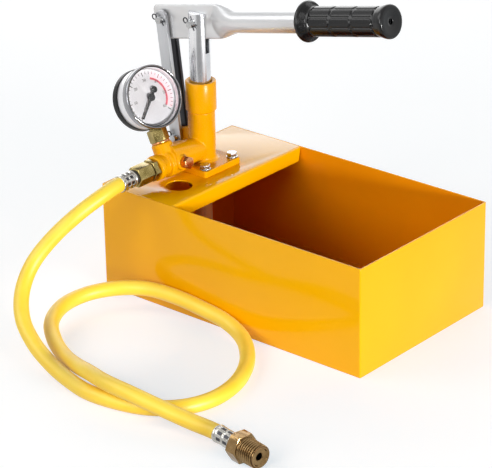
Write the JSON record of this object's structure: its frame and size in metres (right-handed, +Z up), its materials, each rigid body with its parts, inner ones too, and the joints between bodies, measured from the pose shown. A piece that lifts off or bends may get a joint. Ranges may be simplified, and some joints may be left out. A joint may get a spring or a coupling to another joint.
{
  "type": "hydrostatic test pump",
  "caption": "Hand test pump: open sheet tank, ram pump worked by a lever on a swinging link, pressure gauge, release screw and coiled discharge hose.",
  "frame": {"origin": "middle of the tank's underside", "axes": "+X along the tank to the handle, +Z up, hose on the -Y side"},
  "size_m": [0.3249, 0.3421, 0.2847],
  "materials": {
    "tank_paint": "gloss enamel",
    "cast_paint": "gloss enamel on cast iron",
    "chrome": "polished",
    "zinc": "zinc plated",
    "brass": "machined",
    "copper": "copper coloured",
    "grip_rubber": "moulded",
    "packing": "braided",
    "pipe_white": "smooth",
    "hose_yellow": "glossy, slightly see-through",
    "black_plastic": "satin",
    "dial_white": "printed",
    "window": "clear"
  },
  "bodies": {
    "base": {"tank_shell": "tank_paint", "deck_plate": "tank_paint", "deck_fold": "tank_paint", "pump_body": "cast_paint", "gland_nut": "cast_paint", "gauge_case": "chrome", "gauge_bezel": "chrome", "flange_bolts": "zinc", "flange_washers": "zinc", "flange_nuts": "zinc", "link_foot_pin": "zinc", "link_foot_split_pin": "zinc", "suction_strainer": "zinc", "discharge_spring": "zinc", "hose_ferrule_pump": "zinc", "hose_ferrule_end": "zinc", "suction_valve": "brass", "gauge_socket": "brass", "gauge_bourdon_tube": "brass", "gauge_movement": "brass", "outlet_nut": "brass", "outlet_adapter": "brass", "hose_end_fitting": "brass", "gauge_washer": "copper", "hose_seal_ring": "grip_rubber", "packing_rings": "packing", "suction_tube": "pipe_white", "hose": "hose_yellow", "gauge_back_cover": "black_plastic", "gauge_dial": "dial_white", "gauge_window": "window"},
    "link": {"link_bar_front": "zinc", "link_bar_rear": "zinc", "link_top_pin": "zinc", "link_top_split_pin": "zinc", "link_spacers": "zinc"},
    "lever": {"lever_tube": "chrome", "lever_grip": "grip_rubber"},
    "plunger": {"plunger_rod": "chrome", "rod_pin": "zinc", "rod_split_pin": "zinc"},
    "needle": {"gauge_needle": "black_plastic"},
    "suction_ball": {"suction_ball": "zinc"},
    "discharge_ball": {"discharge_ball": "zinc"},
    "release_ball": {"release_ball": "zinc"},
    "release_screw": {"release_screw": "copper"}
  },
  "joints": [
    {"name": "link_swing", "type": "hinge", "parent": "base", "child": "link", "pos_m": [-0.125, 0, 0.118], "axis": [0, -1, 0], "range_deg": [-1.4, 1.6]},
    {"name": "lever_swing", "type": "hinge", "parent": "link", "child": "lever", "pos_m": [-0.13779, 0, 0.22303], "axis": [0, -1, 0], "range_deg": [-28, 24]},
    {"name": "plunger_slide", "type": "slide", "parent": "base", "child": "plunger", "axis": [0, 0, 1], "range_m": [-0.0188, 0.0161]},
    {"name": "needle_turn", "type": "hinge", "parent": "base", "child": "needle", "pos_m": [-0.1243, -0.044, 0.16511], "axis": [-0.8897, 0.1908, -0.4149], "range_deg": [0, 270], "stiffness_Nm_per_rad": 0.0005, "springref_deg": -17.19},
    {"name": "suction_ball_lift", "type": "slide", "parent": "base", "child": "suction_ball", "axis": [0, 0, 1], "range_m": [0, 0.002]},
    {"name": "discharge_ball_lift", "type": "slide", "parent": "base", "child": "discharge_ball", "axis": [0, -1, 0], "range_m": [0, 0.002], "stiffness_N_per_m": 200, "springref_m": -0.002, "deforming": ["discharge_spring"]},
    {"name": "release_ball_slide", "type": "slide", "parent": "base", "child": "release_ball", "axis": [0.9848, 0, 0.1736], "range_m": [0, 0.0019]},
    {"name": "release_screw_turn", "type": "hinge", "parent": "release_ball", "child": "release_screw", "pos_m": [-0.1, -0.04, 0.113], "axis": [0.9848, 0, 0.1736], "range_deg": [0, 540]}
  ],
  "couplings": [
    {"joint": "link_swing", "follows": "lever_swing", "ratio": -0.04834},
    {"joint": "plunger_slide", "follows": "lever_swing", "m_per_rad": 0.038287},
    {"joint": "release_ball_slide", "follows": "release_screw_turn", "m_per_rad": 0.0001989}
  ]
}
